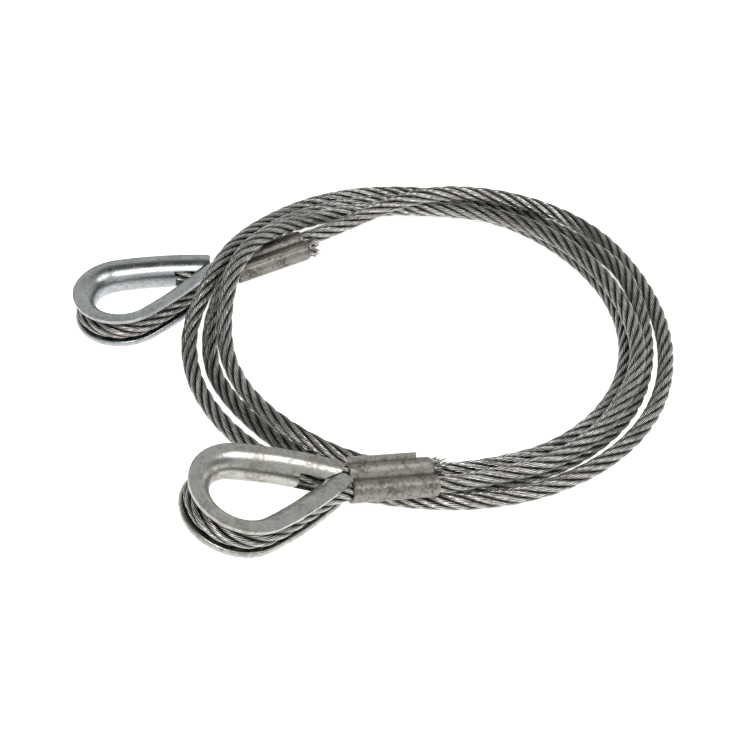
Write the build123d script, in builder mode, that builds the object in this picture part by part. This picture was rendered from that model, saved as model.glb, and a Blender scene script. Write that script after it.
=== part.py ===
from build123d import *
import math
import os

os.makedirs("parts", exist_ok=True)

# A two-ended wire rope sling, coiled on a table. Each end is a thimble eye: the rope runs
# round a pressed steel thimble and back into a double-barrel ferrule squeezed over both
# stretches. Millimetres, +Z up. The origin is the middle of the foot of the two eyes.

# ---- wire rope ---------------------------------------------------------------------------
rope_d = 8.0
rope_r = rope_d / 2
stub_length = 3.0  # dead end left standing out of its ferrule

# ---- thimble: a U-shaped strip bent into an eye --------------------------------------------
strip_t = 1.5
flange_radius = 24.4  # crown, over the flange edges
channel_depth = 10.8  # flange edge to the innermost bulge
thimble_height = 16.2  # over both flanges
thimble_length = 75.0  # crown to the tips of the legs
leg_start_angle = 15.5  # lean of each leg where it leaves the crown
tip_half_width = 5.2  # both tips together are twice as wide, over the flange edges
web_reach = 30.0  # crown centre to where the web of the channel ends
cheek_height = 3.4  # what stands of each flange beyond the web
throat_gap = 0.5  # between the two legs at the centre plane
tip_rounding = 2.0

# ---- ferrule: two barrels side by side, pressed over the rope ------------------------------
barrel_wall = 1.1
barrel_pitch = 8.4
ferrule_length = 42.0
rear_ferrule_gap = 9.6  # thimble tips to the ferrule
front_ferrule_gap = 2.8
press_gap = 0.02  # rope surface to the barrel that is pressed on it
dead_end_rounding = 2.6
mouth_rounding = 0.7
flash_width = 1.5  # seams left by the press
seam_angle = 62.0  # of a seam from the barrels' plane
seam_height = 0.4
fin_angle = 38.0  # of the fin that the press left on the front ferrule's dead barrel
fin_height = 2.4
fin_length = 33.0

# ---- how the rope sits in the thimble ------------------------------------------------------
seat_gap = 0.1
rope_drop = 1.6  # the rope lies below the middle of the channel
rope_leave_turn = 8.6  # degrees of leg that the rope follows before the throat
throat_share = 0.9  # of the shorter straight at a throat bend that its arc takes up
throat_split = 0.5  # the throat's two bends lie this far out from where its lines meet
run_share = 0.45  # of the shorter run at a corner of the free rope, likewise

# ---- where things lie, from the centre of the coil ------------------------------------------
coil_centre = (86.792, 50.696)
rear_crown = (-153.6, 18.2, 0.0)
rear_heading = 27.8
rear_ferrule_turn = 1.8  # ferrule against the thimble's own line
rear_exit_run = 16.0  # the rope runs on straight beyond the ferrule
front_crown = (-85.7, -151.3, 36.0)
front_heading = 29.8
front_dip = 17.4
front_roll = 9.2
front_ferrule_rise = 1.0  # its mouth over the rope's own plane
front_ferrule_turn = -8.0
front_ferrule_dip = -3.5
front_ferrule_roll = 18.0  # the dead barrel turned up, the live one down
front_exit_run = 10.0

# Worked-out sizes of the channel and of the rope's line in it
channel_r = thimble_height / 2
groove_r = channel_r - strip_t
flange_flat = channel_depth - channel_r
crown_turn = 180 + 2 * leg_start_angle
crown_end_angle = 90 - leg_start_angle
crown_end = Vector(flange_radius, 0).rotate(Axis.Z, crown_end_angle)
tip_reach = thimble_length - flange_radius
# a leg's arc leans, on average, as much as the straight line from its start to its tip
leg_rise = crown_end.Y - tip_half_width
leg_run = tip_reach - crown_end.X
leg_turn = 2 * (math.degrees(math.atan2(leg_rise, leg_run)) - leg_start_angle)
leg_radius = math.hypot(leg_run, leg_rise) / 2 / math.sin(math.radians(leg_turn / 2))
leg_centre = Vector(flange_radius - leg_radius, 0).rotate(Axis.Z, crown_end_angle)
rope_inset = flange_flat + math.sqrt((groove_r - rope_r - seat_gap) ** 2 - rope_drop**2)
rope_plane = thimble_height / 2 - rope_drop
barrel_r = rope_r + press_gap + barrel_wall


def at_coil(x, y, z):
    """A point given from the centre of the coil, in the part's own frame."""
    return Vector(coil_centre[0] + x, coil_centre[1] + y, z)


def eye_plane(crown, heading, dip=0.0, roll=0.0):
    """The plane of a thimble's foot: X towards its tips, Z through the eye."""
    turned = Location((0, 0, 0), (0, 0, 1), heading)
    dipped = Location((0, 0, 0), (0, 1, 0), dip)
    rolled = Location((0, 0, 0), (1, 0, 0), roll)
    return Plane(Location(at_coil(*crown)) * turned * dipped * rolled)


def ferrule_plane(eye, gap, turn, rise=0.0, dip=0.0, roll=0.0):
    """The plane of both barrels' axes at the ferrule's mouth: X along it, Y from live to dead."""
    mouth = eye.offset(rope_plane + rise).location * Location((tip_reach + gap, 0, 0))
    turned = Location((0, 0, 0), (0, 0, 1), turn)
    dipped = Location((0, 0, 0), (0, 1, 0), dip)
    rolled = Location((0, 0, 0), (1, 0, 0), roll)
    return Plane(mouth * turned * dipped * rolled)


rear_eye = eye_plane(rear_crown, rear_heading)
front_eye = eye_plane(front_crown, front_heading, front_dip, front_roll)
rear_rope_plane = rear_eye.offset(rope_plane)
front_rope_plane = front_eye.offset(rope_plane)
rear_mouth = ferrule_plane(rear_eye, rear_ferrule_gap, rear_ferrule_turn)
front_mouth = ferrule_plane(
    front_eye,
    front_ferrule_gap,
    front_ferrule_turn,
    front_ferrule_rise,
    front_ferrule_dip,
    front_ferrule_roll,
)


# ---- thimbles --------------------------------------------------------------------------------
def radial_plane(centre):
    """The upright plane through a bend's centre where the crown meets the upper leg."""
    angle = math.radians(crown_end_angle)
    return Plane(
        origin=(centre.X, centre.Y, 0),
        x_dir=(math.cos(angle), math.sin(angle), 0),
        z_dir=(math.sin(angle), -math.cos(angle), 0),
    )


def channel_section(centre, edge_radius):
    """The strip's U section, open outwards, with its flange edges at edge_radius."""
    bend = edge_radius - flange_flat
    middle = thimble_height / 2
    with BuildSketch(radial_plane(centre)) as section:
        with BuildLine():
            Line((edge_radius, 0), (bend, 0))
            ThreePointArc((bend, 0), (bend - channel_r, middle), (bend, thimble_height))
            Line((bend, thimble_height), (edge_radius, thimble_height))
            Line((edge_radius, thimble_height), (edge_radius, thimble_height - strip_t))
            Line((edge_radius, thimble_height - strip_t), (bend, thimble_height - strip_t))
            ThreePointArc(
                (bend, thimble_height - strip_t), (bend - groove_r, middle), (bend, strip_t)
            )
            Line((bend, strip_t), (edge_radius, strip_t))
            Line((edge_radius, strip_t), (edge_radius, 0))
        make_face()
    return section.sketch


def thimble():
    """A thimble lying on its foot: round crown, two converging legs, an open throat."""
    with BuildPart() as leg:
        add(channel_section(leg_centre, leg_radius))
        leg_axis = Axis((leg_centre.X, leg_centre.Y, 0), (0, 0, -1))
        revolve(axis=leg_axis, revolution_arc=leg_turn)
        # beyond the web only the two flanges run on
        with BuildSketch(Plane.XY.offset(cheek_height)):
            with Locations((web_reach, 0)):
                Rectangle(thimble_length, thimble_length, align=(Align.MIN, Align.CENTER))
        extrude(amount=thimble_height - 2 * cheek_height, mode=Mode.SUBTRACT)
        # each leg stops at the centre plane
        with BuildSketch(Plane.XY):
            with Locations((0, throat_gap / 2)):
                Rectangle(thimble_length, thimble_length, align=(Align.MIN, Align.MAX))
        extrude(amount=thimble_height, mode=Mode.SUBTRACT)
        tips = leg.edges().filter_by(Axis.Z).group_by(Axis.X)
        fillet(tips[-1] + tips[-2], tip_rounding)
    with BuildPart() as whole:
        add(channel_section(Vector(0, 0), flange_radius))
        revolve(axis=Axis.Z, revolution_arc=crown_turn)
        add(leg.part)
        mirror(leg.part, about=Plane.XZ)
    return whole.part


# ---- rope round the eye, and the ferrule over it --------------------------------------------------
def barrel_point(mouth, side, reach):
    """A point on one barrel's axis, reach away from the ferrule's mouth."""
    return mouth.from_local_coords(Vector(reach, side * barrel_pitch / 2))


def throat_run(eye, mouth, side, reach):
    """The rope's line from where it leaves a leg, through the throat, to its end."""
    lean = leg_start_angle + rope_leave_turn
    spoke = Vector(leg_radius - rope_inset, 0).rotate(Axis.Z, 90 - lean)
    upper = leg_centre + spoke
    leave = Vector(upper.X, side * upper.Y)
    along_leg = Vector(1, 0).rotate(Axis.Z, -side * lean)
    # the barrel's axis as the thimble sees it, and where the leg's line passes over it
    barrel_start = eye.to_local_coords(barrel_point(mouth, side, 0))
    along_barrel = eye.to_local_coords(barrel_point(mouth, side, 1)) - barrel_start
    across = along_leg.cross(along_barrel).Z
    out = (barrel_start - leave).cross(along_barrel).Z / across
    back = (barrel_start - leave).cross(along_leg).Z / across
    corners = [
        leave + along_leg * out * (1 - throat_split),
        barrel_start + along_barrel * back * (1 - throat_split),
    ]
    end = eye.to_local_coords(barrel_point(mouth, side, reach))
    points = [leave, *corners, end]
    middle = (corners[1] - corners[0]).length / 2
    ends = [(corners[0] - leave).length, (barrel_start - corners[1]).length]
    radii = []
    for free, before, corner, after in zip(ends, points, points[1:], points[2:]):
        half_turn = math.radians((corner - before).get_angle(after - corner)) / 2
        radii.append(throat_share * min(free, middle) / math.tan(half_turn))
    print("throat radii", [round(r) for r in radii])
    FilletPolyline(*points, radius=radii)


def eye_rope(eye, mouth, live_side):
    """The rope from its live end round the thimble to its dead end, in the rope's own plane."""
    rope_round = flange_radius - rope_inset
    leg_round = leg_radius - rope_inset
    upper_centre = (leg_centre.X, leg_centre.Y)
    lower_centre = (leg_centre.X, -leg_centre.Y)
    with BuildPart() as rope:
        with BuildLine() as line:
            throat_run(eye, mouth, live_side, ferrule_length)
            CenterArc(upper_centre, leg_round, crown_end_angle, -rope_leave_turn)
            CenterArc((0, 0), rope_round, crown_end_angle, crown_turn)
            CenterArc(lower_centre, leg_round, -crown_end_angle, rope_leave_turn)
            throat_run(eye, mouth, -live_side, ferrule_length + stub_length)
        path = line.wire()
        with BuildSketch(Plane(origin=path @ 0, z_dir=path % 0)):
            Circle(rope_r)
        sweep(path=path)
    return rope.part


def barrel(side, end_rounding):
    """One barrel of the ferrule before its bore, a turned shape with rounded rims."""
    start = (0, side * barrel_pitch / 2, 0)
    with BuildPart() as turned:
        with BuildSketch(Plane(origin=start, x_dir=(1, 0, 0), z_dir=(0, 0, 1))) as profile:
            Rectangle(ferrule_length, barrel_r, align=(Align.MIN, Align.MIN))
            rims = profile.vertices().group_by(Axis.Y)[-1].sort_by(Axis.X)
            fillet(rims[0], mouth_rounding)
            rims = profile.vertices().sort_by(Axis.X)[-2:]
            fillet(rims.sort_by(Axis.Y)[-1], end_rounding)
        revolve(axis=Axis(start, (1, 0, 0)))
    return turned.part


# height, angle and length of the two kinds of seam
plain_seam = (seam_height, seam_angle, ferrule_length - dead_end_rounding - mouth_rounding)
high_fin = (fin_height, fin_angle, fin_length)


def ferrule(live_side, dead_seam):
    """Two barrels joined along a waist, the dead one rounded off, with press seams."""
    face = Plane(origin=(0, 0, 0), x_dir=(0, 1, 0), z_dir=(1, 0, 0))
    live_x = live_side * barrel_pitch / 2
    seams = {live_x: plain_seam, -live_x: dead_seam}
    with BuildPart() as body:
        add(barrel(live_side, mouth_rounding))
        add(barrel(-live_side, dead_end_rounding))
        for x, (height, angle, length) in seams.items():
            outward = angle if x > 0 else 180 - angle
            with BuildSketch(face.offset(mouth_rounding)):
                with Locations(Location((x, 0, 0), (0, 0, 1), outward)):
                    Rectangle(barrel_r + height, flash_width, align=(Align.MIN, Align.CENTER))
            extrude(amount=length)
        with BuildSketch(face):
            with Locations((live_x, 0), (-live_x, 0)):
                Circle(rope_r + press_gap)
        extrude(amount=ferrule_length, mode=Mode.SUBTRACT)
    return body.part


# ---- the free rope ---------------------------------------------------------------------------
def on_ring(angle, radius, height):
    """A point by its bearing round the coil's centre, its distance from it and its height."""
    bearing = math.radians(angle)
    return at_coil(radius * math.cos(bearing), radius * math.sin(bearing), height)


def rope_tube(points):
    """A plain round tube on straight runs joined by arcs as large as the runs allow."""
    radii = []
    for before, corner, after in zip(points, points[1:], points[2:]):
        arriving = corner - before
        leaving = after - corner
        half_turn = math.radians(arriving.get_angle(leaving)) / 2
        shorter = min(arriving.length, leaving.length)
        radii.append(run_share * shorter / math.tan(half_turn))
    print("free rope radii", [round(r) for r in radii])
    with BuildPart() as tube:
        with BuildLine() as line:
            FilletPolyline(*points, radius=radii)
        path = line.wire()
        with BuildSketch(Plane(origin=path @ 0, z_dir=path % 0)):
            Circle(rope_r)
        sweep(path=path)
    expected = math.pi * rope_r**2 * path.length
    print(f"free rope {path.length:.1f} long, volume over section {tube.part.volume / expected:.4f}")
    return tube.part


rear_lead_points = [
    barrel_point(rear_mouth, 1, ferrule_length),
    barrel_point(rear_mouth, 1, ferrule_length + rear_exit_run),
    on_ring(110.0, 95.9, 8.2),
    on_ring(98.0, 98.0, 12.8),
]
front_lead_points = [
    barrel_point(front_mouth, -1, ferrule_length),
    barrel_point(front_mouth, -1, ferrule_length + front_exit_run),
    on_ring(-79.0, 110.2, 11.8),
    on_ring(-71.0, 109.9, 11.5),
    on_ring(-61.0, 111.4, 11.6),
]

ring_rounding = 3.6
# The coil's outer shape: bearing, inner and outer radius, underside and top. It lies on the
# table except where it passes over the rear thimble's throat and ferrule.
ring_stations = [
    (-80.0, 93.0, 121.0, 0.0, 8.2),
    (-70.0, 93.0, 122.0, 0.0, 15.5),
    (-55.0, 94.0, 123.0, 0.0, 15.8),
    (-35.0, 94.0, 123.0, 0.0, 16.0),
    (-15.0, 93.0, 121.6, 0.0, 16.0),
    (5.0, 92.0, 120.4, 0.0, 16.0),
    (25.0, 90.5, 120.4, 0.0, 16.0),
    (45.0, 90.0, 121.5, 0.0, 16.0),
    (60.0, 90.4, 118.5, 0.0, 16.5),
    (72.0, 91.0, 115.5, 0.0, 18.8),
    (85.0, 92.5, 118.2, 0.0, 19.6),
    (95.0, 92.8, 121.6, 0.0, 19.0),
    (108.0, 91.0, 125.4, 0.0, 15.5),
    (120.0, 91.5, 126.4, 0.0, 16.0),
    (128.0, 96.0, 126.0, 6.0, 20.5),
    (133.0, 96.0, 125.0, 15.2, 24.0),
    (150.0, 94.7, 118.5, 15.2, 31.5),
    (160.0, 94.6, 116.5, 16.8, 32.8),
    (168.0, 95.0, 117.5, 16.8, 31.2),
    (176.0, 95.4, 121.2, 7.0, 30.0),
    (182.0, 95.8, 122.5, 1.0, 27.4),
    (195.0, 97.4, 123.0, 0.0, 20.2),
    (215.0, 97.5, 122.3, 0.0, 17.3),
    (232.0, 96.2, 120.5, 0.0, 16.2),
    (242.0, 94.7, 119.4, 0.0, 13.0),
    (260.0, 93.9, 118.6, 0.0, 8.2),
    (280.0, 93.0, 121.0, 0.0, 8.2),
]


def ring_section(station):
    """The coil's cross-section at one bearing, a rectangle with rope-round corners."""
    angle, inner, outer, foot, top = station
    bearing = math.radians(angle)
    upright = Plane(
        origin=at_coil(0, 0, 0),
        x_dir=(math.cos(bearing), math.sin(bearing), 0),
        z_dir=(math.sin(bearing), -math.cos(bearing), 0),
    )
    with BuildSketch(upright) as section:
        with Locations(((inner + outer) / 2, (foot + top) / 2)):
            RectangleRounded(outer - inner, top - foot, ring_rounding)
    return section.sketch


def ring_half(stations):
    """Half of the coil, skinned straight from station to station."""
    with BuildPart() as half:
        for station in stations:
            add(ring_section(station))
        loft(ruled=True)
    return half.part


# ---- the pieces ------------------------------------------------------------------------------
with BuildPart() as rear_thimble:
    add(thimble().moved(rear_eye.location))
rear_thimble.part.label = "rear_thimble"
export_step(rear_thimble.part, "parts/rear_thimble.step")

with BuildPart() as front_thimble:
    add(thimble().moved(front_eye.location))
front_thimble.part.label = "front_thimble"
export_step(front_thimble.part, "parts/front_thimble.step")

with BuildPart() as rear_ferrule:
    add(ferrule(1, plain_seam).moved(rear_mouth.location))
rear_ferrule.part.label = "rear_ferrule"
export_step(rear_ferrule.part, "parts/rear_ferrule.step")

with BuildPart() as front_ferrule:
    add(ferrule(-1, high_fin).moved(front_mouth.location))
front_ferrule.part.label = "front_ferrule"
export_step(front_ferrule.part, "parts/front_ferrule.step")

with BuildPart() as rear_eye_rope:
    add(eye_rope(rear_rope_plane, rear_mouth, 1).moved(rear_rope_plane.location))
rear_eye_rope.part.label = "rear_eye_rope"
export_step(rear_eye_rope.part, "parts/rear_eye_rope.step")

with BuildPart() as front_eye_rope:
    add(eye_rope(front_rope_plane, front_mouth, -1).moved(front_rope_plane.location))
front_eye_rope.part.label = "front_eye_rope"
export_step(front_eye_rope.part, "parts/front_eye_rope.step")

with BuildPart() as rear_lead:
    add(rope_tube(rear_lead_points))
rear_lead.part.label = "rear_lead"
export_step(rear_lead.part, "parts/rear_lead.step")

with BuildPart() as front_lead:
    add(rope_tube(front_lead_points))
front_lead.part.label = "front_lead"
export_step(front_lead.part, "parts/front_lead.step")

middle_station = len(ring_stations) // 2
with BuildPart() as rope_coil:
    add(ring_half(ring_stations[: middle_station + 1]))
    add(ring_half(ring_stations[middle_station:]))
    # the two ends of the free rope run into the coil
    add(rear_lead.part, mode=Mode.SUBTRACT)
    add(front_lead.part, mode=Mode.SUBTRACT)
rope_coil.part.label = "rope_coil"
export_step(rope_coil.part, "parts/rope_coil.step")
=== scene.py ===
"""A coiled wire rope sling with a thimble eye and a double-barrel ferrule at each end.

Lengths are in metres, in the part's own frame: +Z up, +X towards the coil, +Y from the front
eye towards the rear eye.
"""
import logging
import math
from dataclasses import dataclass
from enum import Enum

import bpy
import numpy as np
from mathutils import Euler, Matrix, Vector


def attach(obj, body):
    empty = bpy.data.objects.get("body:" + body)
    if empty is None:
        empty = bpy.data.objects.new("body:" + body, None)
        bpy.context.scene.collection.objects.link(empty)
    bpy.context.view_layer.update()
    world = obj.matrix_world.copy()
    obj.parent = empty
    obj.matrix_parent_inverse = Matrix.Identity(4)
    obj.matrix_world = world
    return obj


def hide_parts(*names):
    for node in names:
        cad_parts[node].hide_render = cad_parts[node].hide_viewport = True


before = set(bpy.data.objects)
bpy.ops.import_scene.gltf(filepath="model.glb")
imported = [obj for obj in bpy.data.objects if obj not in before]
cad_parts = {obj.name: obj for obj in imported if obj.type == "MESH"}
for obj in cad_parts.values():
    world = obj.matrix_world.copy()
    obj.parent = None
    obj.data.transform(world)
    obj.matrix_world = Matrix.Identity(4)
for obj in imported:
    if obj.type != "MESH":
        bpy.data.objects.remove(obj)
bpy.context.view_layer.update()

log = logging.getLogger("sling")
MM = 0.001
UP = np.array([0.0, 0.0, 1.0])
# The one body of the part, which every piece rides on.
BODY = "root"

# Where the middle of the coil lies.
COIL_CENTRE = np.array([86.792, 50.696, 0.0]) * MM
# Route points between each ferrule and the coil: bearing round the coil's middle in degrees,
# distance from it and height in millimetres.
REAR_LEAD = ((110.0, 95.9, 8.2), (98.0, 98.0, 12.8))
FRONT_LEAD = ((-61.0, 111.4, 11.6), (-71.0, 109.9, 11.5), (-79.0, 110.2, 11.8))
# The turns of the coil: distance and height, as above, at bearings one step apart.
COIL_FIRST_BEARING = 86.0
COIL_BEARING_STEP = -12.0
COIL_TURNS = (
    (100.0, 16.1), (105.0, 14.4), (110.0, 12.3), (117.6, 7.1), (118.8, 4.9), (116.3, 4.6),
    (115.6, 4.3), (116.0, 4.2), (117.1, 4.1), (118.7, 4.1), (119.7, 4.1), (119.8, 4.1),
    (119.3, 4.1), (118.3, 4.1), (116.7, 4.1), (115.3, 4.1), (114.9, 4.1), (115.5, 4.1),
    (116.7, 4.1), (118.0, 4.1), (119.0, 4.2), (119.8, 4.4), (119.3, 8.8), (112.2, 19.0),
    (110.6, 20.9), (113.1, 15.8), (119.0, 8.2), (123.1, 4.1), (121.1, 4.1), (117.2, 4.1),
    (113.8, 4.1), (111.0, 4.1), (108.4, 4.1), (108.1, 4.5), (107.8, 5.9), (109.2, 7.8),
    (108.1, 7.0), (107.0, 4.3), (107.2, 4.2), (108.2, 4.1), (109.4, 4.1), (109.4, 4.1),
    (109.2, 4.1), (108.0, 4.1), (107.9, 4.1), (107.6, 4.1), (107.1, 4.1), (106.8, 4.1),
    (106.0, 4.1), (106.0, 4.1), (107.9, 4.1), (110.1, 4.3), (108.6, 11.1), (103.9, 19.2),
    (102.9, 19.7), (104.8, 17.1), (110.5, 10.7), (114.6, 4.8), (113.2, 4.1), (109.2, 4.1),
    (105.6, 4.1), (102.7, 4.1), (100.8, 4.1), (98.5, 4.1), (97.0, 4.1), (96.4, 4.1),
    (96.5, 4.1), (97.1, 4.1), (97.9, 4.1), (98.8, 4.2), (99.2, 4.3), (99.4, 4.4),
    (99.3, 4.5), (97.8, 4.7), (97.4, 4.8), (98.5, 5.0), (98.6, 5.7), (99.6, 7.3),
    (102.1, 11.8), (102.9, 13.1), (102.6, 12.7), (102.4, 13.9), (100.9, 20.5), (99.7, 27.3),
    (99.1, 27.8), (99.5, 22.8), (102.0, 15.1), (104.5, 8.4), (104.3, 5.8), (101.5, 5.4),
    (98.0, 6.6), (96.0, 8.7), (94.7, 10.8), (94.7, 11.3), (94.5, 11.7), (95.1, 11.7),
    (96.3, 11.9), (98.7, 11.8), (102.5, 11.8), (105.1, 11.8), (106.3, 11.8), (109.7, 11.9),
)


class Side(Enum):
    """Which barrel of a ferrule the free rope comes out of, seen with the eye to the left."""

    FAR = 1
    NEAR = -1


def on_ring(bearing: float, radius: float, height: float) -> np.ndarray:
    """A point by its bearing in degrees round the coil, its distance and its height in mm."""
    turn = math.radians(bearing)
    return COIL_CENTRE + MM * np.array([radius * math.cos(turn), radius * math.sin(turn), height])


# ---- meshes from arrays ----------------------------------------------------------------------
def unit(vectors: np.ndarray) -> np.ndarray:
    """The vectors divided by their lengths."""
    return vectors / np.linalg.norm(vectors, axis=-1, keepdims=True)


def mesh_of_tubes(
    name: str, tubes: np.ndarray, rows_at: np.ndarray, painted_light: np.ndarray | None = None
) -> bpy.types.Mesh:
    """Closed tubes in one mesh, each with flat, sharp-edged ends.

    A face joins two neighbours in a row with the same two in the next row, and the last column
    is the first one's neighbour.

    Args:
        name: the mesh's name.
        tubes: (tube, row, column, 3) points; columns go round anticlockwise seen from the end.
        rows_at: (row,) distance of each row along the tubes, for the UV map.
        painted_light: (tube, row, column) mask of painted shade and painted highlight, kept as a
            point attribute of that name.

    Returns:
        The mesh, with a UV map of distance in metres by share of the way round.
    """
    count, rows, cols = tubes.shape[:3]
    mesh = bpy.data.meshes.new(name)
    mesh.vertices.add(count * rows * cols)
    mesh.vertices.foreach_set("co", tubes.astype(np.float32).ravel())
    tube, row, col = np.meshgrid(
        np.arange(count), np.arange(rows - 1), np.arange(cols), indexing="ij"
    )
    here = (tube * rows + row) * cols + col
    beside = (tube * rows + row) * cols + (col + 1) % cols
    quads = np.stack([here, beside, beside + cols, here + cols], axis=-1).reshape(-1)
    ring = np.arange(cols)
    first = (np.arange(count) * rows * cols)[:, None]
    start_caps = (first + ring[::-1]).reshape(-1)
    end_caps = (first + (rows - 1) * cols + ring).reshape(-1)
    loops = np.concatenate([quads, start_caps, end_caps]).astype(np.int32)
    sizes = np.concatenate([np.full(here.size, 4), np.full(2 * count, cols)]).astype(np.int32)
    mesh.loops.add(loops.size)
    mesh.loops.foreach_set("vertex_index", loops)
    mesh.polygons.add(sizes.size)
    mesh.polygons.foreach_set("loop_start", np.concatenate([[0], np.cumsum(sizes)[:-1]]))
    mesh.polygons.foreach_set("use_smooth", np.arange(sizes.size) < here.size)
    uv = np.zeros((loops.size, 2), np.float32)
    along = rows_at[row]
    ahead = rows_at[row + 1]
    uv[: quads.size, 0] = np.stack([along, along, ahead, ahead], axis=-1).reshape(-1)
    uv[: quads.size, 1] = np.stack([col, col + 1, col + 1, col], axis=-1).reshape(-1) / cols
    mesh.uv_layers.new(name="UVMap").data.foreach_set("uv", uv.ravel())
    if painted_light is not None:
        layer = mesh.attributes.new("painted_light", "FLOAT", "POINT")
        layer.data.foreach_set("value", painted_light.astype(np.float32).ravel())
    mesh.update(calc_edges=True)
    ends = np.empty(len(mesh.edges) * 2, np.int32)
    mesh.edges.foreach_get("vertices", ends)
    row_of = (ends.reshape(-1, 2) // cols) % rows
    rim = (row_of[:, 0] == row_of[:, 1]) & ((row_of[:, 0] == 0) | (row_of[:, 0] == rows - 1))
    mesh.attributes.new("sharp_edge", "BOOLEAN", "EDGE").data.foreach_set("value", rim)
    mesh.validate()
    return mesh


def show(
    name: str, mesh: bpy.types.Mesh, finish: bpy.types.Material
) -> bpy.types.Object:
    """Puts a mesh in the scene as a piece of the sling.

    Args:
        name: the piece's name.
        mesh: its shape, in the part's frame.
        finish: its material.

    Returns:
        The piece.
    """
    piece = bpy.data.objects.new(name, mesh)
    bpy.context.scene.collection.objects.link(piece)
    piece.data.materials.append(finish)
    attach(piece, BODY)
    return piece


# ---- shader nodes ----------------------------------------------------------------------------
@dataclass
class Graph:
    """A node tree, with a short way to add nodes and join them."""

    tree: bpy.types.NodeTree

    def feed(self, node: bpy.types.Node, *inputs: tuple) -> None:
        """Gives a node's inputs their values or links.

        Args:
            node: the node.
            inputs: (socket name or number, value or output socket) pairs.
        """
        for key, value in inputs:
            if isinstance(value, bpy.types.NodeSocket):
                self.tree.links.new(value, node.inputs[key])
            else:
                node.inputs[key].default_value = value

    def add(self, kind: str, *inputs: tuple, **settings: object) -> bpy.types.Node:
        """Adds a node.

        Args:
            kind: the node's type without its "ShaderNode" prefix.
            inputs: (socket name or number, value or output socket) pairs.
            settings: the node's own properties.

        Returns:
            The node.
        """
        node = self.tree.nodes.new("ShaderNode" + kind)
        for key, value in settings.items():
            setattr(node, key, value)
        self.feed(node, *inputs)
        return node

    def noise(
        self, place: bpy.types.NodeSocket, size: object, detail: float, roughness: float = 0.5
    ) -> bpy.types.NodeSocket:
        """A cloudy noise over places, whose patches are about 1 / size wide.

        Args:
            place: the places, as vectors.
            size: the noise's scale, a number or a socket.
            detail: how many finer layers lie on it.
            roughness: how strong the finer layers are.

        Returns:
            The noise's value.
        """
        return self.add(
            "TexNoise", ("Vector", place), ("Scale", size), ("Detail", detail),
            ("Roughness", roughness),
        ).outputs[0]

    def ease(
        self, value: bpy.types.NodeSocket, start: float, end: float, before: float, after: float
    ) -> bpy.types.NodeSocket:
        """A level that goes smoothly from one height to another as a value grows.

        Args:
            value: what the level follows.
            start: the value at which it leaves its first height.
            end: the value at which it reaches its second height.
            before: the first height.
            after: the second height.

        Returns:
            The level.
        """
        return self.add(
            "MapRange", ("Value", value), ("From Min", start), ("From Max", end),
            ("To Min", before), ("To Max", after), interpolation_type="SMOOTHSTEP",
        ).outputs[0]

    def spread(
        self, value: bpy.types.NodeSocket, low: float, high: float
    ) -> bpy.types.NodeSocket:
        """The value low + (high - low) v of a value v from 0 to 1."""
        return self.add("MapRange", ("Value", value), ("To Min", low), ("To Max", high)).outputs[0]

    def ramp(self, value: bpy.types.NodeSocket, *stops: tuple) -> bpy.types.NodeSocket:
        """A colour ramp over a value.

        Args:
            value: what the ramp reads.
            stops: (place, colour) pairs, in order; a colour is a grey level or (r, g, b).

        Returns:
            The ramp's colour.
        """
        node = self.add("ValToRGB", (0, value))
        marks = node.color_ramp.elements
        while len(marks) < len(stops):
            marks.new(0.5)
        for mark, (place, colour) in zip(marks, stops):
            mark.position = place
            mark.color = (*colour, 1.0) if isinstance(colour, tuple) else (colour,) * 3 + (1.0,)
        return node.outputs[0]

    def maths(self, operation: str, *values: object) -> bpy.types.NodeSocket:
        """One step of arithmetic on values or sockets."""
        return self.add("Math", *enumerate(values), operation=operation).outputs[0]

    def blend(self, share: object, a: object, b: object, how: str = "MIX") -> bpy.types.NodeSocket:
        """Two colours blended.

        Args:
            share: how far the second colour counts, a number or a socket.
            a: the first colour, (r, g, b) or a socket.
            b: the second colour, likewise.
            how: the Mix node's way of blending.

        Returns:
            The blended colour.
        """
        node = self.add("Mix", data_type="RGBA", blend_type=how)
        for key, value in (("Factor_Float", share), ("A_Color", a), ("B_Color", b)):
            socket = next(s for s in node.inputs if s.identifier == key)
            if isinstance(value, bpy.types.NodeSocket):
                self.tree.links.new(value, socket)
            else:
                socket.default_value = (*value, 1.0) if isinstance(value, tuple) else value
        return next(s for s in node.outputs if s.identifier == "Result_Color")


def new_material(name: str) -> tuple[bpy.types.Material, Graph, bpy.types.Node]:
    """A material with a Principled BSDF.

    Args:
        name: the material's name.

    Returns:
        The material, its graph and the Principled node.
    """
    material = bpy.data.materials.new(name)
    material.use_nodes = True
    graph = Graph(material.node_tree)
    principled = material.node_tree.nodes["Principled BSDF"]
    return material, graph, principled


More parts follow.
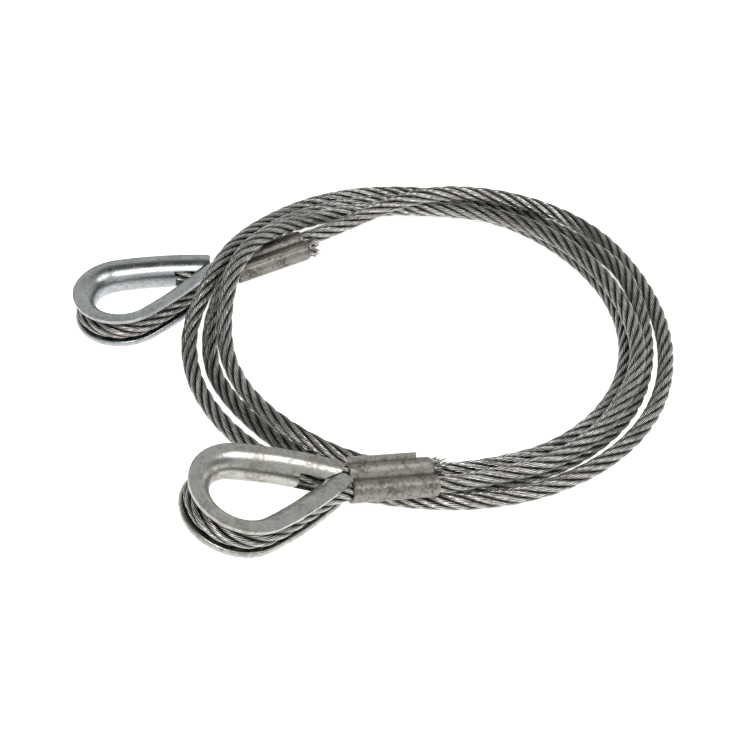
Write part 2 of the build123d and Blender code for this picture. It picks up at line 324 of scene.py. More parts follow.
@dataclass(frozen=True)
class Grime:
    """Cloudy stains with finer specks inside them, shared by the finishes of all the metal."""

    speck_size: float = 6.0
    clean_below: float = 0.18
    stained_above: float = 0.38

    def group(self) -> bpy.types.NodeTree:
        """Makes the node group.

        Its Mask goes smoothly from 0 on clean metal to 1 in a stain, by the product of a cloudy
        noise of the given size and one speck_size times finer.

        Returns:
            The group, with inputs Place and Size and the output Mask.
        """
        tree = bpy.data.node_groups.new("grime", "ShaderNodeTree")
        tree.interface.new_socket("Place", in_out="INPUT", socket_type="NodeSocketVector")
        tree.interface.new_socket("Size", in_out="INPUT", socket_type="NodeSocketFloat")
        tree.interface.new_socket("Mask", in_out="OUTPUT", socket_type="NodeSocketFloat")
        graph = Graph(tree)
        place, size = tree.nodes.new("NodeGroupInput").outputs[:2]
        cloud = graph.noise(place, size, 5.0, 0.6)
        speck = graph.noise(place, graph.maths("MULTIPLY", size, self.speck_size), 3.0)
        both = graph.maths("MULTIPLY", cloud, speck)
        mask = graph.ease(both, self.clean_below, self.stained_above, 0.0, 1.0)
        tree.links.new(mask, tree.nodes.new("NodeGroupOutput").inputs[0])
        return tree


def stained(
    graph: Graph, grime: bpy.types.NodeTree, place: bpy.types.NodeSocket, size: float
) -> bpy.types.NodeSocket:
    """Puts the shared grime in a material.

    Args:
        graph: the material's graph.
        grime: the node group.
        place: the places it follows, as vectors.
        size: the scale of its stains.

    Returns:
        Its mask.
    """
    return graph.add("Group", ("Place", place), ("Size", size), node_tree=grime).outputs[0]


# ---- finishes --------------------------------------------------------------------------------
@dataclass(frozen=True)
class WireFinish:
    """Galvanised steel wires, painted shade between strands and wires, painted highlight on crowns.

    streaks are so many to the metre along the rope and to the turn round each strand.
    """

    # Painted highlight on the wires' crowns, their plain tone, and painted shade in the valleys.
    painted_light: tuple = (0.90, 0.885, 0.84)
    middle: tuple = (0.095, 0.089, 0.077)
    valley_shade: tuple = (0.010, 0.009, 0.0075)
    dirt: tuple = (0.075, 0.066, 0.053)
    dirt_share: float = 0.35
    stain_size: float = 70.0
    streaks: tuple = (90.0, 36.0, 1.0)
    streak_tone: float = 0.2
    streak_depth: float = 0.08 * MM
    metal: float = 0.9
    roughness: float = 0.23

    def material(self, grime: bpy.types.NodeTree) -> bpy.types.Material:
        """Makes the material; it follows the rope by the mesh's UV map and its mask of painted
        shade and painted highlight.

        Args:
            grime: the shared node group of stains.

        Returns:
            The material.
        """
        material, graph, principled = new_material("galvanised_wire")
        uv = graph.add("UVMap", uv_map="UVMap").outputs[0]
        here = graph.add("TexCoord").outputs["Object"]
        streak_at = graph.add("Mapping", ("Vector", uv), ("Scale", self.streaks)).outputs[0]
        streak = graph.noise(streak_at, 1.0, 4.1)
        # Painted shade in the valleys between strands and wires, rising to a painted highlight on
        # the crowns.
        painted_light = graph.add("Attribute", attribute_name="painted_light").outputs["Fac"]
        tone = graph.ramp(painted_light, (0.0, self.valley_shade), (0.5, self.middle), (1.0, self.painted_light))
        uneven = graph.ramp(streak, (0.34, self.streak_tone), (0.62, 1.0))
        toned = graph.blend(1.0, tone, uneven, "MULTIPLY")
        stain = stained(graph, grime, here, self.stain_size)
        colour = graph.blend(graph.maths("MULTIPLY", stain, self.dirt_share), toned, self.dirt)
        bump = graph.add(
            "Bump", ("Height", streak), ("Strength", 0.25), ("Distance", self.streak_depth)
        )
        graph.feed(
            principled,
            ("Base Color", colour),
            ("Metallic", self.metal),
            ("Roughness", graph.spread(streak, self.roughness - 0.1, self.roughness + 0.16)),
            ("Normal", bump.outputs[0]),
        )
        return material


@dataclass(frozen=True)
class PlatedFinish:
    """Zinc-plated pressed steel, satin, with handling marks and dull patches.

    Its fine grain has the size drawn_size, times drawn_out along each axis.
    """

    bright: tuple = (0.42, 0.445, 0.455)
    dull: tuple = (0.33, 0.34, 0.335)
    roughness: float = 0.24
    stain_size: float = 90.0
    drawn_out: tuple = (1.0, 1.0, 6.0)
    drawn_size: float = 260.0
    drawn_depth: float = 0.1 * MM
    pit_size: float = 420.0
    wave_size: float = 42.0
    wave_depth: float = 0.7 * MM

    def material(self, name: str, grime: bpy.types.NodeTree) -> bpy.types.Material:
        """Makes the material, on object coordinates.

        Args:
            name: the material's name.
            grime: the shared node group of stains.

        Returns:
            The material.
        """
        material, graph, principled = new_material(name)
        here = graph.add("TexCoord").outputs["Object"]
        stain = stained(graph, grime, here, self.stain_size)
        drawn_at = graph.add("Mapping", ("Vector", here), ("Scale", self.drawn_out)).outputs[0]
        drawn = graph.noise(drawn_at, self.drawn_size, 6.0, 0.65)
        pits = graph.add(
            "TexVoronoi", ("Vector", here), ("Scale", self.pit_size), feature="SMOOTH_F1"
        )
        pit = graph.ramp(pits.outputs[0], (0.05, 0.0), (0.16, 1.0))
        tone = graph.blend(stain, self.bright, self.dull)
        uneven = graph.ramp(drawn, (0.3, 0.82), (0.7, 1.0))
        waves = graph.add(
            "Bump", ("Height", graph.noise(here, self.wave_size, 1.0)), ("Strength", 1.0),
            ("Distance", self.wave_depth),
        )
        height = graph.maths("ADD", graph.maths("MULTIPLY", drawn, 0.6), pit)
        bump = graph.add(
            "Bump", ("Height", height), ("Normal", waves.outputs[0]), ("Strength", 0.3),
            ("Distance", self.drawn_depth),
        )
        graph.feed(
            principled,
            ("Base Color", graph.blend(1.0, tone, uneven, "MULTIPLY")),
            ("Metallic", 1.0),
            ("Roughness", graph.spread(stain, self.roughness, self.roughness + 0.12)),
            ("Normal", bump.outputs[0]),
        )
        return material


@dataclass(frozen=True)
class PressedAlloyFinish:
    """Aluminium alloy after pressing: mottled, dull grey, pitted."""

    light: tuple = (0.29, 0.28, 0.25)
    dark: tuple = (0.12, 0.113, 0.097)
    stain_size: float = 110.0
    mottle_size: float = 900.0
    pit_depth: float = 0.2 * MM
    metal: float = 0.85
    roughness: float = 0.42

    def material(self, grime: bpy.types.NodeTree) -> bpy.types.Material:
        """Makes the material, on object coordinates.

        Args:
            grime: the shared node group of stains.

        Returns:
            The material.
        """
        material, graph, principled = new_material("pressed_alloy")
        here = graph.add("TexCoord").outputs["Object"]
        stain = stained(graph, grime, here, self.stain_size)
        mottle = graph.noise(here, self.mottle_size, 5.0, 0.7)
        tone = graph.blend(stain, self.light, self.dark)
        uneven = graph.ramp(mottle, (0.3, 0.7), (0.68, 1.0))
        bump = graph.add(
            "Bump", ("Height", mottle), ("Strength", 0.5), ("Distance", self.pit_depth)
        )
        graph.feed(
            principled,
            ("Base Color", graph.blend(1.0, tone, uneven, "MULTIPLY")),
            ("Metallic", self.metal),
            ("Roughness", graph.spread(mottle, self.roughness - 0.08, self.roughness + 0.15)),
            ("Normal", bump.outputs[0]),
        )
        return material


@dataclass(frozen=True)
class CoreFinish:
    """Oiled fibre core, dark and rough, in a fibrous tone."""

    dark: tuple = (0.035, 0.03, 0.024)
    light: tuple = (0.08, 0.07, 0.055)
    fibre_size: float = 1500.0
    roughness: float = 0.8

    def material(self) -> bpy.types.Material:
        """Makes the material, on object coordinates.

        Returns:
            The material.
        """
        material, graph, principled = new_material("oiled_fibre")
        fibre = graph.noise(graph.add("TexCoord").outputs["Object"], self.fibre_size, 3.0)
        colour = graph.ramp(fibre, (0.3, self.dark), (0.7, self.light))
        graph.feed(principled, ("Base Color", colour), ("Roughness", self.roughness))
        return material


# ---- the rope --------------------------------------------------------------------------------
def distances(path: np.ndarray) -> np.ndarray:
    """How far along a path each of its points lies."""
    return np.concatenate([[0.0], np.cumsum(np.linalg.norm(np.diff(path, axis=0), axis=1))])


@dataclass(frozen=True)
class LaidRope:
    """A rope row by row: its centreline, the rows' distances, and the points laid round it.

    path is (row, 3) and at (row,). strands is (strand, row, column, 3) with painted_light, its
    mask of painted shade and painted highlight, and core is (1, row, column, 3).
    """

    path: np.ndarray
    at: np.ndarray
    strands: np.ndarray
    painted_light: np.ndarray
    core: np.ndarray

    def cut(self, span: slice) -> "LaidRope":
        """The length of rope in a span of rows."""
        around = (grid[:, span] for grid in (self.strands, self.painted_light, self.core))
        return LaidRope(self.path[span], self.at[span], *around)


@dataclass(frozen=True)
class RopeMake:
    """Six strands laid right-hand round a fibre core, each with nine outer wires."""

    diameter: float = 8.0 * MM
    strands: int = 6
    wires: int = 9
    wire_points: int = 4
    strand_radius: float = 1.36 * MM
    lay_length: float = 55.0 * MM
    wire_turns: float = 2.75
    core_radius: float = 1.35 * MM
    core_points: int = 10
    row_length: float = 1.25 * MM
    # These form the mask of painted shade and painted highlight laid on the strands.
    painted_light_gain: float = 1.35
    painted_light_cut: float = 0.3
    furrow_light_share: float = 0.3

    @property
    def strand_line(self) -> float:
        """Distance from the rope's centreline to a strand's."""
        return self.diameter / 2 - self.strand_radius

    def wire_profile(self) -> np.ndarray:
        """A strand's outline, as distances from its middle.

        Wires of radius w stand side by side on a circle of radius q, with
        w = q sin(pi / wires) and q + w the strand's radius. At an angle a off the nearest
        wire's middle the outline is q cos(a) + sqrt(w^2 - q^2 sin(a)^2).

        Returns:
            (column,) distances, evenly spaced round the strand.
        """
        share = math.sin(math.pi / self.wires)
        q = self.strand_radius / (1 + share)
        off = (np.arange(self.wires * self.wire_points) % self.wire_points) / self.wire_points
        a = (off - 0.5) * 2 * math.pi / self.wires
        return q * np.cos(a) + np.sqrt(np.maximum((q * share) ** 2 - (q * np.sin(a)) ** 2, 0.0))

    @staticmethod
    def cross_axes(path: np.ndarray) -> tuple[np.ndarray, np.ndarray, np.ndarray]:
        """The directions along a path and across it.

        Args:
            path: (row, 3) points.

        Returns:
            The direction along it, the one across it that is as upright as can be, and the one
            across both.
        """
        along = unit(np.gradient(path, axis=0))
        upright = unit(UP - along * (along @ UP)[:, None])
        return along, upright, np.cross(along, upright)

    def laid(self, path: np.ndarray, at: np.ndarray) -> LaidRope:
        """The strands and the core along a path.

        A strand's middle is path + r (cos f * upright + sin f * across), where the angle f
        grows by one turn in each lay length, so the lay is right-hand. Its wires turn the
        other way, wire_turns times as fast, so they show nearly in line with the rope. The
        painted_light mask grows from painted shade on the strand's inner side, where the strands
        meet, to a painted highlight on its outer side, and from painted shade in the furrows
        between its wires to their ridges.

        Args:
            path: (row, 3) points of the centreline.
            at: (row,) distance of each point along the rope.

        Returns:
            The rope.
        """
        along, upright, across = self.cross_axes(path)
        turn = 2 * math.pi * at / self.lay_length
        angle = turn[None, :] + np.arange(self.strands)[:, None] * 2 * math.pi / self.strands
        out = np.cos(angle)[..., None] * upright + np.sin(angle)[..., None] * across
        aside = -np.sin(angle)[..., None] * upright + np.cos(angle)[..., None] * across
        middle = path + self.strand_line * out
        lean = 2 * math.pi * self.strand_line / self.lay_length
        strand_along = unit(along + lean * aside)
        strand_aside = np.cross(strand_along, out)
        profile = self.wire_profile()
        grid = np.arange(profile.size) * 2 * math.pi / profile.size
        wire = grid[None, None, :] - (self.wire_turns * turn)[None, :, None]
        reach = profile[None, None, :, None]
        points = middle[:, :, None] + reach * (
            np.cos(wire)[..., None] * out[:, :, None]
            + np.sin(wire)[..., None] * strand_aside[:, :, None]
        )
        # Painted shade on the strands' inner sides, where they meet, and in the furrows between
        # wires; painted highlight on the outer ridges.
        ridge = (profile - profile.min()) / np.ptp(profile)
        outward = 0.5 + 0.5 * np.cos(wire)
        shade = self.furrow_light_share + (1 - self.furrow_light_share) * ridge[None, None, :]
        painted_light = np.clip(outward * self.painted_light_gain - self.painted_light_cut, 0, 1) * shade
        round_core = np.arange(self.core_points) * 2 * math.pi / self.core_points
        core = path[:, None] + self.core_radius * (
            np.cos(round_core)[None, :, None] * upright[:, None]
            + np.sin(round_core)[None, :, None] * across[:, None]
        )
        return LaidRope(path, at, points, np.broadcast_to(painted_light, points.shape[:3]), core[None])


@dataclass
class ThimbleEye:
    """One end of the sling: a thimble, the rope round it and the ferrule that closes it.

    Its own frame has its origin under the middle of the crown, X towards the thimble's tips
    and Z through the eye. Each line round the thimble is an arc round that origin at the crown
    and one round leg_centre at a leg; the other leg mirrors it. A lean is how far such a leg's
    line has turned from X. The ferrule's frame has its origin between the barrels' axes at the
    mouth, X along the ferrule and Y towards the far barrel. crown and mouth are these origins
    in millimetres from the coil's middle and in the eye's frame, and the turns are in degrees.
    """

    name: str
    crown: tuple
    turns: tuple
    mouth: tuple
    mouth_turns: tuple
    live: Side
    ferrule_length: float = 42.0 * MM
    barrel_pitch: float = 8.4 * MM
    stub_length: float = 3.0 * MM
    rope_plane: float = 6.5 * MM
    rope_round: float = 19.78 * MM
    crown_points: int = 9
    crown_step: float = 30.0
    leg_centre: tuple = (-45.44 * MM, -163.85 * MM)
    leg_round: float = 189.82 * MM
    leg_leans: tuple = (19.5, 24.1)
    throat_split: float = 0.5
    crown_edge: float = 24.4 * MM
    leg_edge: float = 194.43 * MM
    edge_leans: tuple = (15.5, 29.5)
    height: float = 16.2 * MM

    @staticmethod
    def turned(place: np.ndarray, turns: tuple) -> Matrix:
        """A frame at a place.

        Args:
            place: its origin.
            turns: how far it is turned about Z, then Y, then X, in degrees.

        Returns:
            The frame as a matrix.
        """
        heading, dip, roll = (math.radians(turn) for turn in turns)
        return (
            Matrix.Translation(place)
            @ Matrix.Rotation(heading, 4, "Z")
            @ Matrix.Rotation(dip, 4, "Y")
            @ Matrix.Rotation(roll, 4, "X")
        )

    @property
    def frame(self) -> np.ndarray:
        """The eye's own frame in the part's frame, as a 4 x 4 array."""
        return np.array(self.turned(COIL_CENTRE + MM * np.array(self.crown), self.turns))

    @property
    def ferrule_frame(self) -> np.ndarray:
        """The ferrule's frame in the part's frame, as a 4 x 4 array."""
        return self.frame @ np.array(self.turned(MM * np.array(self.mouth), self.mouth_turns))

    @staticmethod
    def placed(frame_of: np.ndarray, local: np.ndarray) -> np.ndarray:
        """Points given in a frame, in the part's frame."""
        return local @ frame_of[:3, :3].T + frame_of[:3, 3]

    def barrel_point(self, side: int, reach: float) -> np.ndarray:
        """A point on one barrel's axis, reach away from the mouth, in the part's frame."""
        return self.placed(self.ferrule_frame, np.array([reach, side * self.barrel_pitch / 2, 0.0]))

    def leg_points(self, side: int) -> list[np.ndarray]:
        """Route points along a leg and through the throat, ending in the ferrule's mouth.

        From the leg's last lean on its line runs straight, along down. Seen through the eye it
        meets the barrel's axis where leg + out * down = start + back * ahead. The rope turns
        from one line to the other throat_split of the way to that point, and the last point
        lies as far inside the barrel, so that the rope enters it on its axis.

        Args:
            side: 1 for the far leg and barrel, -1 for the near ones.

        Returns:
            The points, in the part's frame.
        """
        frame_of = self.frame
        spokes = np.radians(90 - np.array(self.leg_leans))
        leg = np.column_stack([
            self.leg_centre[0] + self.leg_round * np.cos(spokes),
            side * (self.leg_centre[1] + self.leg_round * np.sin(spokes)),
            np.full(spokes.size, self.rope_plane),
        ])
        lean = math.radians(self.leg_leans[-1])
        down = np.array([math.cos(lean), -side * math.sin(lean), 0.0])
        start = (self.barrel_point(side, 0.0) - frame_of[:3, 3]) @ frame_of[:3, :3]
        ahead = (self.barrel_point(side, MM) - frame_of[:3, 3]) @ frame_of[:3, :3] - start
        gap = start - leg[-1]
        over = down[0] * ahead[1] - down[1] * ahead[0]
        out = (gap[0] * ahead[1] - gap[1] * ahead[0]) / over
        back = (gap[0] * down[1] - gap[1] * down[0]) / over
        step = self.throat_split * back * ahead
        corners = [leg[-1] + self.throat_split * out * down, start + step, start - step]
        return list(self.placed(frame_of, np.vstack([leg[0], *corners])))

    def route(self) -> np.ndarray:
        """Route points of the rope from its dead end, round the crown, to its live end.

        Round a ring of route points a quadratic spline runs at 3/4 + 1/4 cos(step) of their
        distance, so the crown's points stand that much further out than the rope.

        Returns:
            (point, 3) places in the part's frame.
        """
        live = self.live.value
        wide = self.rope_round / (0.75 + 0.25 * math.cos(math.radians(self.crown_step)))
        span = self.crown_step * (self.crown_points - 1) / 2
        bearings = np.radians(
            180 + live * (span - np.arange(self.crown_points) * self.crown_step)
        )
        crown = np.column_stack([
            wide * np.cos(bearings), wide * np.sin(bearings),
            np.full(self.crown_points, self.rope_plane),
        ])
        return np.vstack([
            self.barrel_point(-live, self.ferrule_length + self.stub_length),
            *self.leg_points(-live)[::-1],
            *self.placed(self.frame, crown),
            *self.leg_points(live),
            self.beyond(0.0),
        ])

    def edge_line(self, inset: float, rows: int = 40) -> np.ndarray:
        """The flanges' edge in plan, from one tip round the crown to the other.

        It is an arc of radius leg_edge round leg_centre, one of crown_edge round the origin and
        the first one's mirror image, all of them moved in by the inset.

        Args:
            inset: how far inside the edge the line runs.
            rows: points on each leg; the crown has twice as many.

        Returns:
            (point, 2) places in the eye's own frame.
        """
        start, tip = np.radians(90 - np.array(self.edge_leans))
        spokes = np.linspace(tip, start, rows)[:-1]
        away = self.leg_edge - inset
        leg = np.array(self.leg_centre) + away * np.column_stack([np.cos(spokes), np.sin(spokes)])
        bearings = np.linspace(start, 2 * math.pi - start, 2 * rows)
        crown = (self.crown_edge - inset) * np.column_stack([np.cos(bearings), np.sin(bearings)])
        return np.vstack([leg, crown, leg[::-1] * (1, -1)])

    def beyond(self, distance: float) -> np.ndarray:
        """A point on the live barrel's axis, a distance beyond the ferrule."""
        return self.barrel_point(self.live.value, self.ferrule_length + distance)


REAR_EYE = ThimbleEye(
    "rear",
    crown=(-153.6, 18.2, 0.0),
    turns=(27.8, 0.0, 0.0),
    mouth=(60.2, 0.0, 6.5),
    mouth_turns=(1.8, 0.0, 0.0),
    live=Side.FAR,
)
FRONT_EYE = ThimbleEye(
    "front",
    crown=(-85.7, -151.3, 36.0),
    turns=(29.8, 17.4, 9.2),
    mouth=(53.4, 0.0, 7.5),
    mouth_turns=(-8.0, -3.5, 18.0),
    live=Side.NEAR,
)


@dataclass
class SlingRope:
    """The whole rope: round the rear eye, about 3.5 turns of coil, and round the front eye."""

    make: RopeMake
    rear: ThimbleEye
    front: ThimbleEye
    sections: int = 5
    rear_run: float = 16.0 * MM
    front_run: float = 10.0 * MM
    spline_steps: int = 16

    def free_route(self) -> np.ndarray:
        """Route points of the free rope, which runs straight on from each ferrule at first.

        Returns:
            (point, 3) places from the rear ferrule to the front one.
        """
        turns = [
            on_ring(COIL_FIRST_BEARING + k * COIL_BEARING_STEP, radius, height)
            for k, (radius, height) in enumerate(COIL_TURNS)
        ]
        leads = [[on_ring(*point) for point in lead] for lead in (REAR_LEAD, FRONT_LEAD)]
        rear_end, front_end = self.rear.beyond(self.rear_run), self.front.beyond(self.front_run)
        return np.array([rear_end, *leads[0], *turns, *leads[1], front_end])

    def spline(self) -> np.ndarray:
        """The rope's centreline: a smooth quadratic spline over all the route points.

        Returns:
            (point, 3) places, close together.
        """
        route = np.vstack([self.rear.route(), self.free_route(), self.front.route()[::-1]])
        curve = bpy.data.curves.new("rope_route", "CURVE")
        curve.dimensions = "3D"
        line = curve.splines.new("NURBS")
        line.points.add(len(route) - 1)
        line.points.foreach_set("co", np.column_stack([route, np.ones(len(route))]).ravel())
        line.order_u = 3
        line.use_endpoint_u = True
        line.resolution_u = self.spline_steps
        carrier = bpy.data.objects.new("rope_route", curve)
        bpy.context.scene.collection.objects.link(carrier)
        bpy.context.view_layer.update()
        evaluated = carrier.evaluated_get(bpy.context.evaluated_depsgraph_get())
        flat = bpy.data.meshes.new_from_object(evaluated)
        dense = np.empty(len(flat.vertices) * 3)
        flat.vertices.foreach_get("co", dense)
        bpy.data.meshes.remove(flat)
        bpy.data.objects.remove(carrier)
        bpy.data.curves.remove(curve)
        return dense.reshape(-1, 3)

    def lay(self) -> tuple[LaidRope, np.ndarray]:
        """Lays the strands along the spline, in rows about make.row_length apart.

        The free rope, from ferrule to ferrule, is cut into sections of one length.

        Returns:
            The whole rope, and how many rows each of its lengths has; neighbours share one.
        """
        dense = self.spline()
        gone = distances(dense)
        half = len(dense) // 2
        rear_end, front_end = self.rear.beyond(0.0), self.front.beyond(0.0)
        leaves = gone[np.argmin(np.linalg.norm(dense - rear_end, axis=1))]
        returns = gone[half + np.argmin(np.linalg.norm(dense[half:] - front_end, axis=1))]
        cuts = np.linspace(leaves, returns, self.sections + 1)
        marks = np.concatenate([[0.0], cuts, [gone[-1]]])
        rows = np.round(np.diff(marks) / self.make.row_length).astype(int) + 1
        at = np.concatenate([
            [0.0], *[np.linspace(a, b, n)[1:] for a, b, n in zip(marks[:-1], marks[1:], rows)]
        ])
        path = np.column_stack([np.interp(at, gone, dense[:, axis]) for axis in range(3)])
        return self.make.laid(path, at), rows

    def build(self, wire: bpy.types.Material, core: bpy.types.Material) -> list[bpy.types.Object]:
        """Args:
            wire: finish of the strands.
            core: finish of the core.

        Returns:
            The strands' pieces.
        """
        rope, rows = self.lay()
        pieces = []
        first = 0
        for k, count in enumerate(rows):
            stretch = rope.cut(slice(first, first + count))
            pieces.append(self.section(k, stretch, wire, core))
            log.info("rope section %d: %.0f mm long", k, (stretch.at[-1] - stretch.at[0]) / MM)
            first += count - 1
        return pieces

    def section(
        self, k: int, rope: LaidRope, wire: bpy.types.Material, core: bpy.types.Material
    ) -> bpy.types.Object:
        """One length of the rope, with what it stands for.

        Args:
            k: its number, counted from the rear eye.
            rope: its points.
            wire: finish of the strands.
            core: finish of the core.

        Returns:
            The strands' piece.
        """
        last = self.sections + 1
        name = {0: "rear_eye_strands", last: "front_eye_strands"}.get(k, f"coil_strands_{k}")
        mesh = mesh_of_tubes(name, rope.strands, rope.at, rope.painted_light)
        strands = show(name, mesh, wire)
        heart = mesh_of_tubes(name.replace("strands", "core"), rope.core, rope.at)
        inner = show(heart.name, heart, core)
        stands_for = {0: ["rear_eye_rope"], last: ["front_eye_rope"]}.get(k, ["rope_coil"])
        if k == 1:
            stands_for.append("rear_lead")
        if k == self.sections:
            stands_for.append("front_lead")
        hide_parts(*stands_for)
        return strands


# ---- details of the eyes ---------------------------------------------------------------------
@dataclass
class RolledRims:
    """The rounded rims that the rolling left along both flanges of a thimble."""

    eye: ThimbleEye
    half_width: float = 0.9 * MM
    half_height: float = 1.2 * MM
    clearance: float = 0.05 * MM
    points_round: int = 16

    def build(self, finish: bpy.types.Material) -> bpy.types.Object:
        """Both rims in one mesh.

        A rim is an oval swept along the flange's edge: inset + a cos t across and b sin t up.

        Args:
            finish: the thimble's finish.

        Returns:
            The piece.
        """
        line = self.eye.edge_line(self.half_width + self.clearance)
        along = unit(np.gradient(line, axis=0))
        outward = np.column_stack([along[:, 1], -along[:, 0]])
        t = np.arange(self.points_round) * 2 * math.pi / self.points_round
        across = line[:, None] + self.half_width * np.cos(t)[None, :, None] * outward[:, None]
        low = self.half_height + self.clearance
        tubes = []
        for z in (low, self.eye.height - low):
            up = (z + self.half_height * np.sin(t))[None, :, None]
            up = np.broadcast_to(up, (*across.shape[:2], 1))
            tubes.append(np.concatenate([across, up], axis=-1))
        points = self.eye.placed(self.eye.frame, np.stack(tubes))
        mesh = mesh_of_tubes(f"{self.eye.name}_thimble_rims", points, distances(line))
        return show(mesh.name, mesh, finish)


@dataclass
class FrayedEnd:
    """The rope's dead end, its cut wires spread a little where they stand out of the ferrule."""

    eye: ThimbleEye
    seed: int
    wires: int = 54
    spread_over: float = 3.7 * MM
    spread_share: tuple = (0.1, 1.0)
    wire_radius: float = 0.24 * MM
    root: float = 1.0 * MM
    lengths: tuple = (3.6 * MM, 6.2 * MM)
    splay: float = 0.42
    waver: float = 0.13
    bow_per_mm: float = 0.03
    # A flat share of the painted highlight on the cut wires, drawn for each wire within a range.
    painted_light: float = 0.75
    painted_light_spread: tuple = (0.5, 1.0)
    rows: int = 7
    points_round: int = 6

    def build(self, finish: bpy.types.Material) -> bpy.types.Object:
        """The single wires in one mesh.

        A wire runs from its place p in the cut, which has the radius R, by
        s (1, splay p / R + lean) + s^2 bow, with s from 0 to its length. It starts a little
        inside the ferrule.

        Args:
            finish: the wires' finish.

        Returns:
            The piece.
        """
        draw = np.random.default_rng(self.seed)
        out = self.spread_over * np.sqrt(draw.uniform(*self.spread_share, self.wires))
        way = draw.uniform(0, 2 * math.pi, self.wires)
        place = np.column_stack([out * np.cos(way), out * np.sin(way)])
        length = draw.uniform(*self.lengths, self.wires)
        s = np.linspace(0, 1, self.rows)[None, :, None] * length[:, None, None]
        lean = self.splay * place / self.spread_over + draw.normal(0, self.waver, (self.wires, 2))
        bow = draw.normal(0, self.bow_per_mm, (self.wires, 2)) / MM
        side = place[:, None] + s * lean[:, None] + s**2 * bow[:, None]
        centre = np.concatenate([s + self.eye.ferrule_length - self.root, side], axis=-1)
        t = np.arange(self.points_round) * 2 * math.pi / self.points_round
        ring = self.wire_radius * np.column_stack([np.zeros_like(t), np.cos(t), np.sin(t)])
        local = centre[:, :, None] + ring
        local[..., 1] -= self.eye.live.value * self.eye.barrel_pitch / 2
        tubes = self.eye.placed(self.eye.ferrule_frame, local)
        rows_at = np.linspace(0, self.lengths[1], self.rows)
        # Each cut wire gets the painted highlight at one even level of its own.
        shares = draw.uniform(*self.painted_light_spread, (self.wires, 1, 1))
        painted_light = np.full(tubes.shape[:3], self.painted_light) * shares
        mesh = mesh_of_tubes(f"{self.eye.name}_frayed_end", tubes, rows_at, painted_light)
        return show(mesh.name, mesh, finish)


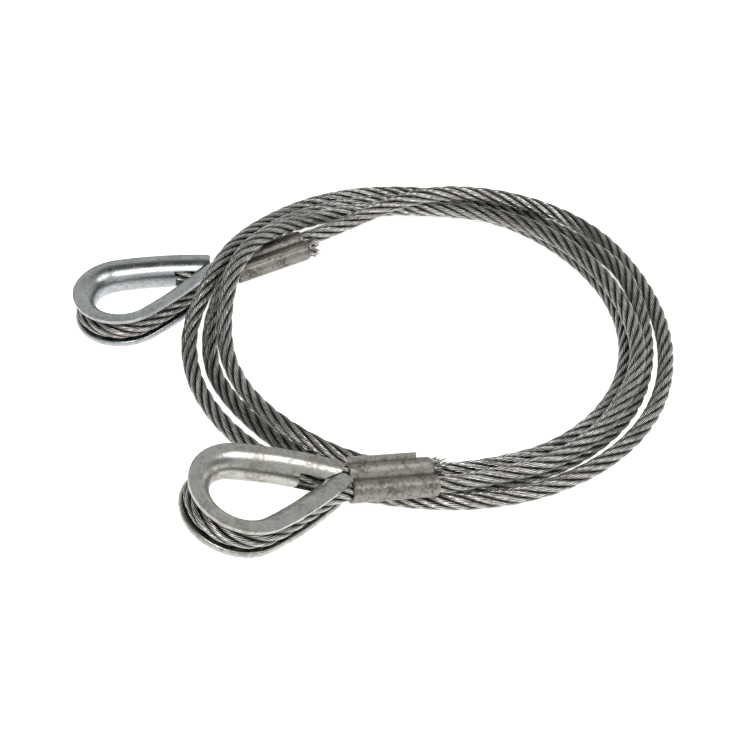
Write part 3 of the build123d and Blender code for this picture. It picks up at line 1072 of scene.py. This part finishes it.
# ---- surroundings ----------------------------------------------------------------------------
@dataclass
class Studio:
    """White floor, soft lights and the camera.

    The world's levels are its light from the front, the sides, the back and overhead. Its bands
    give the shares of a direction, along Y or Z, over which one level goes over into the next.
    """

    image_size: int = 746
    focal_pixels: float = 1672.0
    sensor: float = 36.0
    near: float = 0.01
    eye: tuple = (58.752 * MM, -576.27 * MM, 548.93 * MM)
    pitch: float = 47.6
    floor_reach: float = 6.0
    floor_drop: float = 0.2 * MM
    floor_glow: float = 0.78
    front_level: float = 0.85
    side_level: float = 0.2
    back_level: float = 0.78
    top_share: float = 0.3
    side_band: tuple = (0.15, 0.65)
    top_band: tuple = (0.72, 0.95)
    floor_band: tuple = (0.04, 0.16)
    aim: tuple = (0.05, 0.0, 0.0)

    def camera(self) -> None:
        """The camera, at the viewing angle that the sling is shown from."""
        data = bpy.data.cameras.new("camera")
        data.sensor_width = self.sensor
        data.lens = self.focal_pixels / self.image_size * self.sensor
        data.clip_start = self.near
        camera = bpy.data.objects.new("camera", data)
        camera.location = self.eye
        camera.rotation_euler = Euler((math.radians(self.pitch), 0.0, 0.0))
        bpy.context.scene.collection.objects.link(camera)
        bpy.context.scene.camera = camera

    def floor(self) -> None:
        """A white floor that reads as pure white and keeps a soft shadow."""
        material, graph, principled = new_material("white_floor")
        graph.feed(principled, ("Base Color", (0.9, 0.9, 0.9, 1.0)), ("Roughness", 0.9))
        rays = graph.add("LightPath").outputs
        seen = graph.maths("MAXIMUM", rays["Is Camera Ray"], rays["Is Glossy Ray"])
        seen = graph.maths("MAXIMUM", seen, rays["Is Transmission Ray"])
        glow = graph.add(
            "Emission", ("Color", (1.0, 1.0, 1.0, 1.0)), ("Strength", self.floor_glow)
        )
        lit = graph.add("AddShader", (0, principled.outputs[0]), (1, glow.outputs[0]))
        mix = graph.add("MixShader", (0, seen), (1, principled.outputs[0]), (2, lit.outputs[0]))
        graph.feed(material.node_tree.nodes["Material Output"], ("Surface", mix.outputs[0]))
        mesh = bpy.data.meshes.new("floor")
        corners = [(-1, -1, 0), (1, -1, 0), (1, 1, 0), (-1, 1, 0)]
        mesh.from_pydata(np.array(corners) * self.floor_reach, [], [(0, 1, 2, 3)])
        mesh.materials.append(material)
        floor = bpy.data.objects.new("floor", mesh)
        floor.location.z = -self.floor_drop
        bpy.context.scene.collection.objects.link(floor)

    def world(self) -> None:
        """A white surround, which lights the sling like a studio.

        Its light comes from the front and less from the back: the level follows the share of a
        direction that points along Y, and falls off again towards straight overhead. The camera
        and glass see plain white in it, and metal sees white close above the floor.
        """
        world = bpy.data.worlds.new("studio")
        bpy.context.scene.world = world
        world.use_nodes = True
        graph = Graph(world.node_tree)
        way = graph.add("SeparateXYZ", (0, graph.add("TexCoord").outputs["Generated"])).outputs
        inner, outer = self.side_band
        front = graph.ease(way["Y"], -outer, -inner, self.front_level, self.side_level)
        back = graph.ease(way["Y"], inner, outer, self.side_level, self.back_level)
        overhead = graph.ease(way["Z"], *self.top_band, 1.0, self.top_share)
        studio = graph.maths("MULTIPLY", graph.maths("MAXIMUM", front, back), overhead)
        rays = graph.add("LightPath").outputs
        low = graph.ease(way["Z"], *self.floor_band, 1.0, 0.0)
        low = graph.maths("MULTIPLY", low, rays["Is Glossy Ray"])
        seen = graph.maths("MAXIMUM", rays["Is Camera Ray"], rays["Is Transmission Ray"])
        level = graph.maths("MAXIMUM", studio, graph.maths("MAXIMUM", seen, low))
        backdrop = world.node_tree.nodes["Background"]
        graph.feed(backdrop, ("Color", (1.0, 1.0, 1.0, 1.0)), ("Strength", level))

    def lamp(self, name: str, place: tuple, size: float, power: float) -> None:
        """A square soft light aimed at the middle of the sling.

        Args:
            name: its name.
            place: where it hangs.
            size: its width.
            power: its power in watts.
        """
        data = bpy.data.lights.new(name, "AREA")
        data.size = size
        data.energy = power
        light = bpy.data.objects.new(name, data)
        light.location = place
        ahead = Vector(self.aim) - Vector(place)
        light.rotation_euler = ahead.to_track_quat("-Z", "Y").to_euler()
        bpy.context.scene.collection.objects.link(light)

    def build(self) -> None:
        """Camera, floor, world and lamps."""
        self.camera()
        self.floor()
        self.world()
        self.lamp("front_light", place=(0.1, -0.8, 1.3), size=0.6, power=11.0)
        self.lamp("right_light", place=(0.95, -0.08, 1.2), size=0.75, power=8.0)


def dress(node: str, finish: bpy.types.Material) -> None:
    """Gives a solid of the frame its finish.

    Args:
        node: the solid's name.
        finish: its material.
    """
    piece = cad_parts[node]
    if not piece.material_slots:
        piece.data.materials.append(finish)
    for holder in piece.material_slots:
        holder.link = "OBJECT"
        holder.material = finish


def main() -> None:
    """Builds the sling and its surroundings, piece by piece."""
    logging.basicConfig(level=logging.INFO, format="%(message)s")
    bpy.context.scene.view_settings.view_transform = "Standard"
    Studio().build()
    grime = Grime().group()
    wire = WireFinish().material(grime)
    core = CoreFinish().material()
    for piece in SlingRope(RopeMake(), REAR_EYE, FRONT_EYE).build(wire, core):
        log.info("laid %s", piece.name)
    zinc = PlatedFinish().material("zinc_plate", grime)
    worn_zinc = PlatedFinish(
        bright=(0.43, 0.43, 0.40), dull=(0.28, 0.268, 0.238), roughness=0.26
    ).material("worn_zinc_plate", grime)
    for seed, (eye, finish) in enumerate(((REAR_EYE, zinc), (FRONT_EYE, worn_zinc))):
        dress(f"{eye.name}_thimble", finish)
        log.info("rolled %s", RolledRims(eye).build(finish).name)
        log.info("frayed %s", FrayedEnd(eye, seed).build(wire).name)
    alloy = PressedAlloyFinish().material(grime)
    for node in ("rear_ferrule", "front_ferrule"):
        dress(node, alloy)
        log.info("dressed %s", node)


if __name__ == "__main__":
    main()
